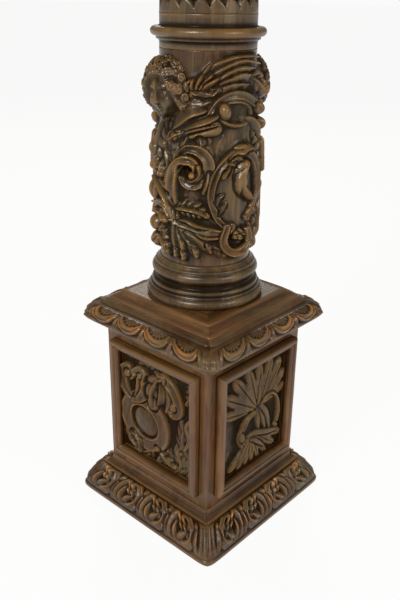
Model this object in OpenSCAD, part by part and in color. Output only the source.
// Tall carved wooden candlestick: a square panelled pedestal carries a turned and carved column,
// a leafy capital, a turned drip dish and a brass drip pan with a candle cup that lifts out.
// Origin: centre of the underside. +Z is up and the front of the pedestal faces -Y.

/* [Pedestal] */
// Width of the pedestal over its base moulding
base_w = 280; // [276:1:284]
// Width of the panelled box
box_w = 202; // [198:1:206]
// Width of the pedestal over its cornice
cornice_w = 259; // [256:1:262]
// Side of a corner post
post = 28; // [26:1:30]
// How far the panel frames stand out from the posts
frame_depth = 13; // [10:1:15]
// Width of a panel frame strip
frame_w = 13; // [11:1:14]
// Thickness of the carving on the panels
panel_relief = 10; // [6:1:12]

/* [Column] */
// Radius of the carved shaft under its carving
shaft_r = 62.5; // [60:0.5:64]
// Radius of the fluted shaft at its foot
flute_r = 62; // [60:0.5:63]
// Radius of the fluted shaft at its top
flute_top_r = 52; // [50:0.5:54]
// Number of reeds round the fluted shaft
reeds = 20; // [16:1:22]
// How far the reeds wind round the shaft, in degrees
reed_turn = 90; // [40:5:120]
// Radius of the bead on the collar
collar_r = 74; // [71:0.5:76]

/* [Top] */
// Radius of the turned drip dish
dish_r = 94; // [90:1:98]
// Radius of the brass drip pan
pan_r = 76; // [72:1:78]
// Diameter of the candle that the cup takes
candle_d = 40; // [36:0.5:42]
// Depth of the candle cup
cup_depth = 42; // [34:1:46]

/* [Hidden] */
$fn = 96;
SIDES = ["front", "right", "back", "left"];
EDGES = ["top", "right", "bottom", "left"];
POSTS = ["front_left", "front_right", "back_right", "back_left"];

WALNUT = "#4a3424";
DARK_WALNUT = "#3a281b";
WORN_WALNUT = "#6a4728";
BRASS = "#b08a3e";
STEEL = "#8a8a8c";

half_base = base_w / 2;
half_box = box_w / 2;
half_cornice = cornice_w / 2;

// Heights above the floor
board_t = 24;
base_top = 43;
box_top = 290;
cap_top = 310;
plinth_top = 346.5;
column_base_top = 405;
carved_top = 681;
collar_top = 722;
fluted_top = 1100;
necking_top = 1122;
capital_top = 1212;
abacus_top = 1230;

// Panelled box
board_half = half_box + 11;
opening_half = half_box - post;
opening_bottom = 90;
opening_top = 261;
opening_mid = (opening_top + opening_bottom) / 2;
opening_rise = (opening_top - opening_bottom) / 2;
rail_t = 22;
groove_t = 8;
groove_depth = 10;
groove_face = half_box - 8;
tongue = 8;
rail_groove = 8;
rail_tongue = 6;
panel_t = 14;
panel_sink = 4;
ground = half_box - panel_sink;

// Joints of the column
dowel_r = 20;
dowel_len = 110;
fit = 0.05;
dowel_z = [316, 646.5, 1056];
spigot_r = 15;
spigot_len = 25;
screw_r = 2.5;
screw_head_r = 5;
screw_head_h = 3;
screw_len = 34;
screw_z = 296;
screw_at = 45;

// Carved shaft; everything on it is carved twice, half a turn apart
head_r = 33;
head_out = 51.5;
head_z = 631;
head_turn = -12;
relief_r = shaft_r + 9;
leaf_lobes = 4;
// Each leaf: angle round the shaft, height, lean, length, half-width and how far out it reaches
SHAFT_LEAVES = [
    [50, 610, -60, 74, 14, relief_r + 2], [45, 570, -25, 66, 14, relief_r], [-35, 500, 30, 60, 16, relief_r],
    [20, 440, 50, 56, 18, relief_r], [105, 452, -40, 56, 18, relief_r]
];
// Each scroll: angle round the shaft, height, ring radius and thickness
SHAFT_SCROLLS = [[28, 536, 19, 6.5], [84, 520, 24, 6.5], [82, 452, 15, 6]];

// Fluted shaft
plain_foot = 5;
plain_head = 14;
reed_dip = 3.5;
reed_points = 4;
reed_slices = 30;

// Top
dish_foot_r = 44;
dish_h = 48;
dish_top = abacus_top + dish_h;
seat_depth = 10;
seat_z = dish_top - seat_depth;
pan_clear = 0.5;
pan_t = 1.6;
pan_h = 9;
pan_lip = 4;
cup_wall = 3;
cup_floor = 3;
cup_z = seat_z + pan_t;
cup_r = candle_d / 2;
cup_top = cup_z + cup_floor + cup_depth;

// Points along an arc from angle a0 to a1
function arc(x, y, r, a0, a1, n = 6) =
    [for (i = [0:n]) let (a = a0 + (a1 - a0) * i / n) [x + r * cos(a), y + r * sin(a)]];

// Points round an oval
function oval(a, b, n = 32) = [for (i = [0:n - 1]) [a * cos(360 * i / n), b * sin(360 * i / n)]];

// Half-width of a lobed leaf at t of its length
function leaf_half(t, w, lobes) =
    w * (0.12 + 0.88 * sin(180 * pow(t, 0.75))) * (1 - 0.16 * cos(360 * lobes * t));

// Outline of a leaf that grows along +Y from the origin
function leaf(len, w, lobes, n = 24) = concat(
    [for (i = [0:n]) [leaf_half(i / n, w, lobes), len * i / n]],
    [for (i = [0:n]) [-leaf_half(1 - i / n, w, lobes), len * (1 - i / n)]]
);

// Turns a piece made for the front of the pedestal to side i
module to_side(i) {
    rotate([0, 0, 90 * i]) children();
}

// A straight moulding along the front with mitred ends; the profile is [distance from the axis, height]
module mitred_side(profile, reach, top) {
    intersection() {
        rotate([90, 0, -90]) linear_extrude(2 * reach, center = true) polygon(profile);
        linear_extrude(top) polygon([[0, 0], [-reach, -reach], [reach, -reach]]);
    }
}

module base_board() {
    color(DARK_WALNUT) translate([-board_half, -board_half, 0]) cube([2 * board_half, 2 * board_half, board_t]);
}

// Mitred base moulding with a row of carved buds on its slope
module base_moulding(i) {
    reach = half_base + 1;
    profile = [
        [board_half, 0], [half_base, 0], [half_base, 6.5], [half_base - 2, 8], [half_base - 2, 15],
        [half_base - 8, 24], [half_base - 16, 34], [half_base - 23, 42], [half_base - 26, base_top],
        [half_box, base_top], [half_box, board_t], [board_half, board_t]
    ];
    bud_pitch = 24;
    bud_r = 8;
    bud_in = 13;
    bud_z = 26;
    color(WORN_WALNUT) to_side(i) union() {
        mitred_side(profile, reach, base_top);
        for (k = [-4:4]) translate([k * bud_pitch, bud_in - half_base, bud_z]) sphere(bud_r);
    }
}

// Small cove in the angle between the base moulding and the box
module dado_cove(i) {
    cove_w = 12;
    cove_h = 15.5;
    fillet = 2.5;
    profile = concat(
        [[half_box, base_top], [half_box + cove_w, base_top], [half_box + cove_w, base_top + fillet]],
        arc(half_box + cove_w, base_top + cove_h, cove_h - fillet - 2, 262, 186, 6),
        [[half_box, base_top + cove_h]]
    );
    color(WALNUT) to_side(i) mitred_side(profile, half_box + cove_w + 1, base_top + cove_h);
}

// Square post, grooved on its two inner faces for the panels and the rail tenons
module corner_post(i) {
    color(WALNUT) to_side(i) translate([-half_box, -half_box, board_t]) difference() {
        cube([post, post, box_top - board_t]);
        translate([post - groove_depth, half_box - groove_face, -1])
            cube([groove_depth + 1, groove_t, box_top]);
        translate([half_box - groove_face, post - groove_depth, -1])
            cube([groove_t, groove_depth + 1, box_top]);
    }
}

// A rail between two posts, tenoned at both ends; its body spans z0 to z1
module rail_body(z0, z1, tenon0, tenon1) {
    translate([-opening_half, -half_box, z0]) cube([2 * opening_half, rail_t, z1 - z0]);
    translate([-opening_half - groove_depth, -groove_face, tenon0])
        cube([2 * (opening_half + groove_depth), groove_t, tenon1 - tenon0]);
}

module rail_groove_cut(z) {
    translate([-opening_half - groove_depth - 1, -groove_face, z])
        cube([2 * (opening_half + groove_depth + 1), groove_t, rail_groove + 1]);
}

module bottom_rail(i) {
    color(WALNUT) to_side(i) difference() {
        rail_body(board_t, opening_bottom, board_t, opening_bottom - rail_groove);
        rail_groove_cut(opening_bottom - rail_groove);
    }
}

module top_rail(i) {
    color(WALNUT) to_side(i) difference() {
        rail_body(opening_top, box_top, opening_top + rail_groove, box_top);
        rail_groove_cut(opening_top - 1);
    }
}

// A flat carved shape on the ground of a panel, drawn in the panel's own [across, up] plane
module on_panel(thickness) {
    translate([0, -ground, opening_mid]) rotate([90, 0, 0]) linear_extrude(thickness) children();
}

// Oval boss in a ring, with scrolls above it and leaves below
module cartouche() {
    ring_a = 40;
    ring_b = 46;
    boss_a = 25;
    boss_b = 30;
    drop = 10;
    scroll_r = 15;
    on_panel(panel_relief) translate([0, -drop]) difference() {
        polygon(oval(ring_a, ring_b));
        polygon(oval(ring_a - 8, ring_b - 8));
    }
    on_panel(panel_relief - 2) translate([0, -drop]) polygon(oval(boss_a, boss_b));
    for (s = [-1, 1]) {
        on_panel(panel_relief) translate([s * 34, 56]) circle(scroll_r);
        on_panel(panel_relief - 3) translate([s * 22, -60]) rotate([0, 0, s * 130]) polygon(leaf(36, 13, 3));
    }
}

// Acanthus leaves that spread from a stem, with a broad leaf under them
module leaf_spray() {
    for (a = [-48, 0, 42])
        on_panel(panel_relief - abs(a) / 24) translate([0, -10]) rotate([0, 0, a]) polygon(leaf(80, 22, 5));
    for (a = [110, 180, 250])
        on_panel(panel_relief - 3) translate([0, -14]) rotate([0, 0, a]) polygon(leaf(58, 17, 4));
}

// A carved panel whose edges sit loose in the grooves of the posts and rails
module panel(i) {
    color(DARK_WALNUT) to_side(i) union() {
        translate([-opening_half, -ground, opening_bottom])
            cube([2 * opening_half, panel_t, opening_top - opening_bottom]);
        translate([-opening_half - tongue, -groove_face, opening_bottom - rail_tongue])
            cube([2 * (opening_half + tongue), groove_t, opening_top - opening_bottom + 2 * rail_tongue]);
        if (i % 2 == 0) leaf_spray();
        if (i % 2 == 1) cartouche();
    }
}

// One mitred strip of a panel frame; inner_half is half the length of its inner edge
module frame_strip(inner_half) {
    profile = [
        [0, 0], [frame_w, 0], [frame_w, frame_depth - 2.5], [frame_w - 1.5, frame_depth - 1],
        [frame_w - 4, frame_depth], [frame_w - 8, frame_depth - 0.5], [2, frame_depth - 2],
        [0.8, frame_depth - 4.5], [0, frame_depth - 6]
    ];
    intersection() {
        multmatrix([[0, 0, 1, 0], [0, -1, 0, 0], [1, 0, 0, 0]])
            linear_extrude(2 * (inner_half + frame_w), center = true) polygon(profile);
        rotate([90, 0, 0]) linear_extrude(frame_depth) polygon([
            [-inner_half, 0], [inner_half, 0],
            [inner_half + frame_w, frame_w], [-inner_half - frame_w, frame_w]
        ]);
    }
}

// Edge 0 is the top, then clockwise as seen from outside
module frame_edge(i, edge) {
    upright = edge % 2 == 1;
    reach_x = [0, opening_half, 0, -opening_half][edge];
    reach_z = [opening_rise, 0, -opening_rise, 0][edge];
    color(WORN_WALNUT) to_side(i) translate([reach_x, -half_box, opening_mid + reach_z])
        rotate([0, 90 * edge, 0]) frame_strip(upright ? opening_rise : opening_half);
}

module screw_holes(r, z, h) {
    for (x = [-screw_at, screw_at]) for (y = [-screw_at, screw_at])
        translate([x, y, z]) cylinder(r = r, h = h);
}

// Board that closes the box
module cap_board() {
    color(DARK_WALNUT) difference() {
        translate([-half_box, -half_box, box_top]) cube([2 * half_box, 2 * half_box, cap_top - box_top]);
        screw_holes(screw_r + fit, box_top - 1, cap_top - box_top + 2);
        screw_holes(screw_head_r + 1, box_top - 1, screw_z + screw_head_h - box_top + 1);
    }
}

// Mitred cornice: bed cove, lip, carved slope with lunettes and a top fillet
module cornice(i) {
    bed = 8;
    reach = half_cornice + 1;
    lip_z = 305;
    profile = concat(
        [[half_box, box_top - bed], [half_box + 3, box_top - bed]],
        arc(half_box + 18, box_top - bed + 2, 15, 180, 100, 6),
        [
            [half_cornice - 7, box_top + 11], [half_cornice, lip_z], [half_cornice, lip_z + 5],
            [half_cornice - 1.5, lip_z + 6.5], [half_cornice - 2.8, lip_z + 13],
            [half_cornice - 9, lip_z + 19], [half_cornice - 17.5, lip_z + 22],
            [half_cornice - 19, lip_z + 22.6], [half_box + 2, lip_z + 29], [half_box, lip_z + 29]
        ]
    );
    lunette_pitch = 50;
    lunette_r = 9;
    lunette_in = 12;
    color(WORN_WALNUT) to_side(i) union() {
        mitred_side(profile, reach, lip_z + 30);
        for (k = [-1.5:1.5])
            translate([k * lunette_pitch, lunette_in - half_cornice, lip_z + lunette_in]) sphere(lunette_r);
    }
}

// Square board with moulded edges that the column stands on
module plinth_board() {
    profile = [
        [-half_box, cap_top], [half_box, cap_top], [half_box, cap_top + 25.5],
        [half_box - 9.6, cap_top + 31.5], [half_box - 13, cap_top + 33.8],
        [half_box - 14.5, plinth_top], [14.5 - half_box, plinth_top],
        [13 - half_box, cap_top + 33.8], [9.6 - half_box, cap_top + 31.5], [-half_box, cap_top + 25.5]
    ];
    color(WALNUT) difference() {
        intersection() {
            rotate([90, 0, 0]) linear_extrude(2 * half_box, center = true) polygon(profile);
            rotate([90, 0, 90]) linear_extrude(2 * half_box, center = true) polygon(profile);
        }
        translate([0, 0, dowel_z[0]]) cylinder(r = dowel_r + fit, h = dowel_len);
        screw_holes(screw_r + fit, cap_top - 1, screw_z + screw_len - cap_top + 2);
    }
}

// Countersunk wood screws, driven up through the cap board into the plinth board
module cap_screws() {
    color(STEEL) for (x = [-screw_at, screw_at]) for (y = [-screw_at, screw_at])
        translate([x, y, screw_z]) union() {
            cylinder(r = screw_head_r, h = screw_head_h);
            cylinder(r = screw_r, h = screw_len);
        }
}

// Three loose dowels that join the column's lengths
module dowels() {
    color(WORN_WALNUT) for (z = dowel_z) translate([0, 0, z + 1]) cylinder(r = dowel_r, h = dowel_len - 2);
}

module dowel_bore(k) {
    translate([0, 0, dowel_z[k]]) cylinder(r = dowel_r + fit, h = dowel_len);
}

// Turned base: lower torus, two fillets, scotia, upper torus and a small fillet
module column_base() {
    z = plinth_top;
    profile = concat(
        [[0, z], [78.5, z], [79.5, z + 1]],
        arc(76, z + 7.5, 7.2, -55, 68, 8),
        [[78, z + 15.5], [78, z + 17.5], [76, z + 18], [75.5, z + 20], [76, z + 22], [75, z + 25]],
        arc(76.5, z + 30.5, 6.2, 250, 130, 8),
        [[73.2, z + 37], [74.6, z + 38]],
        arc(67.5, z + 41, 7.8, -20, 55, 8),
        [[70.5, z + 49], [70.5, z + 51.5], [68.2, z + 52.5], [67, z + 54.5], [64.5, z + 57], [64, column_base_top],
         [0, column_base_top]]
    );
    color(WALNUT) difference() {
        rotate_extrude() polygon(profile);
        dowel_bore(0);
    }
}

// A leaf wrapped on the shaft: it grows up from height z at angle a, tilted by lean
module shaft_leaf(a, z, lean, len, w, out) {
    root_depth = 12;
    reach = 40;
    steps = 16;
    intersection() {
        rotate([0, 0, a]) translate([shaft_r - root_depth, 0, z]) rotate([0, 90, 0]) rotate([0, 0, 90 + lean])
            linear_extrude(reach) polygon(leaf(len, w, leaf_lobes, steps));
        cylinder(r = out, h = carved_top);
    }
}

// A ring-shaped scroll on the shaft
module shaft_scroll(a, z, ring, thick) {
    rotate([0, 0, a]) translate([shaft_r - 1, 0, z]) rotate([0, 90, 0])
        rotate_extrude() translate([ring, 0]) circle(thick);
}

// Shaft carved with two curly-haired heads, each with wings, scrolls and leaves
module carved_shaft() {
    color(WORN_WALNUT) difference() {
        union() {
            translate([0, 0, column_base_top]) cylinder(r = shaft_r, h = carved_top - column_base_top);
            for (half = [0, 180]) rotate([0, 0, half]) {
                rotate([0, 0, head_turn]) translate([head_out, 0, head_z]) sphere(head_r);
                for (l = SHAFT_LEAVES) shaft_leaf(l[0], l[1], l[2], l[3], l[4], l[5]);
                for (c = SHAFT_SCROLLS) shaft_scroll(c[0], c[1], c[2], c[3]);
            }
        }
        dowel_bore(0);
        dowel_bore(1);
    }
}

// Turned collar: fillet and bead between two plain lengths
module collar() {
    bead_z = 700.5;
    bead_t = 5.6;
    profile = concat(
        [[0, carved_top], [shaft_r, carved_top], [shaft_r, bead_z - 12], [shaft_r + 1.5, bead_z - 10],
         [66.5, bead_z - 9], [66.5, bead_z - 5.6]],
        arc(collar_r - bead_t, bead_z, bead_t, -90, 90, 10),
        [[flute_r, bead_z + 6.6], [flute_r, collar_top], [0, collar_top]]
    );
    color(WALNUT) difference() {
        rotate_extrude() polygon(profile);
        dowel_bore(1);
    }
}

// Radius at turn angle a of the reeded section
function reed_r(a) = flute_r - reed_dip * (1 - abs(sin(a * reeds / 2)));

// Shaft with spiral reeds that taper with it, between two plain lengths
module fluted_shaft() {
    reed_h = fluted_top - collar_top - plain_foot - plain_head;
    taper = flute_top_r / flute_r;
    n = reeds * reed_points;
    color(WALNUT) difference() {
        union() {
            translate([0, 0, collar_top]) cylinder(r = flute_r, h = plain_foot);
            translate([0, 0, collar_top + plain_foot])
                linear_extrude(reed_h, twist = reed_turn, scale = taper, slices = reed_slices)
                    polygon([for (i = [0:n - 1]) let (a = 360 * i / n) reed_r(a) * [cos(a), sin(a)]]);
            translate([0, 0, fluted_top - plain_head]) cylinder(r = flute_top_r, h = plain_head);
        }
        dowel_bore(1);
        dowel_bore(2);
    }
}

// Turned necking with one bead
module necking() {
    profile = concat(
        [[0, fluted_top], [flute_top_r, fluted_top], [flute_top_r + 3, fluted_top + 2],
         [flute_top_r + 3, fluted_top + 4]],
        arc(flute_top_r + 4, fluted_top + 10, 6, -90, 90, 8),
        [[flute_top_r, fluted_top + 17], [flute_top_r - 3, necking_top], [0, necking_top]]
    );
    color(WALNUT) difference() {
        rotate_extrude() polygon(profile);
        dowel_bore(2);
    }
}

// Outline of the bell with its flared leaves
function leaf_bell(foot, tip, z0, z1) = concat(
    [[0, z0], [foot, z0]],
    arc(foot + 30, z0 + (z1 - z0) * 0.45, 30, 180, 128, 6),
    [[tip, z1 - 4], [tip - 3, z1], [0, z1]]
);

// Capital: a bell, two ranks of leaves and four corner scrolls under the abacus
module capital() {
    bell_r = flute_top_r - 3;
    bell = [
        [0, necking_top], [bell_r, necking_top], [bell_r, capital_top - 34], [bell_r + 4, capital_top - 16],
        [bell_r + 14, capital_top - 4], [bell_r + 14, capital_top], [0, capital_top]
    ];
    leaf_arc = 26;
    low_leaf = [68, 40];
    high_leaf = [76, 66];
    scroll_out = 82;
    scroll_r = 11;
    scroll_w = 12;
    scroll_arm = 40;
    arm_h = 14;
    color(WORN_WALNUT) difference() {
        union() {
            rotate_extrude() polygon(bell);
            for (k = [0:7]) rotate([0, 0, 45 * k - leaf_arc / 2])
                rotate_extrude(angle = leaf_arc)
                    polygon(leaf_bell(bell_r + 2, low_leaf[0], necking_top, necking_top + low_leaf[1]));
            for (k = [0:3]) rotate([0, 0, 90 * k + 45 - leaf_arc / 2])
                rotate_extrude(angle = leaf_arc)
                    polygon(leaf_bell(bell_r + 2, high_leaf[0], necking_top, necking_top + high_leaf[1]));
            for (k = [0:3]) rotate([0, 0, 90 * k + 45]) {
                translate([scroll_out, 0, capital_top - scroll_r]) rotate([90, 0, 0])
                    cylinder(r = scroll_r, h = scroll_w, center = true);
                translate([scroll_arm, -scroll_w / 2, capital_top - arm_h])
                    cube([scroll_out - scroll_arm, scroll_w, arm_h]);
            }
        }
        dowel_bore(2);
        translate([0, 0, capital_top - spigot_len - 1]) cylinder(r = spigot_r + fit, h = spigot_len + 2);
    }
}

// Square abacus with hollowed sides
module abacus() {
    half = 74;
    corner = 10;
    bow_r = 190;
    bow = 12;
    cut_h = 30;
    corner_cut = [40, 80, cut_h];
    color(WALNUT) difference() {
        translate([-half, -half, capital_top]) cube([2 * half, 2 * half, abacus_top - capital_top]);
        for (i = [0:3]) rotate([0, 0, 90 * i]) {
            translate([half + bow_r - bow, 0, capital_top - 1]) cylinder(r = bow_r, h = cut_h);
            rotate([0, 0, 45]) translate([sqrt(2) * half - corner, -corner_cut[1] / 2, capital_top - 1])
                cube(corner_cut);
        }
        translate([0, 0, capital_top - 1]) cylinder(r = spigot_r + fit, h = cut_h);
    }
}

// Turned dish with a flat seat for the pan and a spigot that glues into the capital
module drip_dish() {
    z = abacus_top;
    profile = concat(
        [[0, capital_top - spigot_len], [spigot_r, capital_top - spigot_len], [spigot_r, z], [dish_foot_r, z],
         [dish_foot_r, z + 4]],
        arc(dish_foot_r + 2, z + 16, 10, 250, 150, 6),
        [[dish_foot_r + 2, z + 22], [66, z + 26], [84, z + 32], [dish_r - 2, z + 37]],
        arc(dish_r - 4, dish_top - 4, 4, 0, 90, 4),
        [[dish_r - 10, dish_top], [pan_r + pan_clear + 2, dish_top - 2], [pan_r + pan_clear, dish_top - 4],
         [pan_r + pan_clear, seat_z], [0, seat_z]]
    );
    color(WALNUT) rotate_extrude() polygon(profile);
}

// Shallow spun pan with a rolled lip; it lies loose on the seat
module drip_pan() {
    profile = [
        [0, seat_z], [pan_r - 5, seat_z], [pan_r - 1, seat_z + 4], [pan_r, seat_z + pan_h],
        [pan_r + pan_lip, seat_z + pan_h + 1], [pan_r + pan_lip, seat_z + pan_h + 1 + pan_t],
        [pan_r - pan_t, seat_z + pan_h + pan_t], [pan_r - pan_t - 1, seat_z + 5], [pan_r - 6, seat_z + pan_t],
        [0, seat_z + pan_t]
    ];
    color(BRASS) rotate_extrude() polygon(profile);
}

// Candle cup soldered to the pan
module candle_cup() {
    outer = cup_r + cup_wall;
    profile = concat(
        [[0, cup_z], [outer + 8, cup_z], [outer + 8, cup_z + 1.5], [outer + 2, cup_z + 4], [outer, cup_z + 9]],
        [[outer, cup_top - 6]],
        arc(outer + 0.5, cup_top - 3, 3, -90, 90, 6),
        [[0, cup_top]]
    );
    color(BRASS) difference() {
        rotate_extrude() polygon(profile);
        translate([0, 0, cup_z + cup_floor]) cylinder(r = cup_r, h = cup_depth + 1);
    }
}

base_board();
for (i = [0:3]) {
    base_moulding(i);
    dado_cove(i);
    corner_post(i);
    bottom_rail(i);
    top_rail(i);
    panel(i);
    for (e = [0:3]) {
        frame_edge(i, e);
    }
    cornice(i);
}
cap_board();
plinth_board();
cap_screws();
dowels();
column_base();
carved_shaft();
collar();
fluted_shaft();
necking();
capital();
abacus();
drip_dish();
drip_pan();
candle_cup();
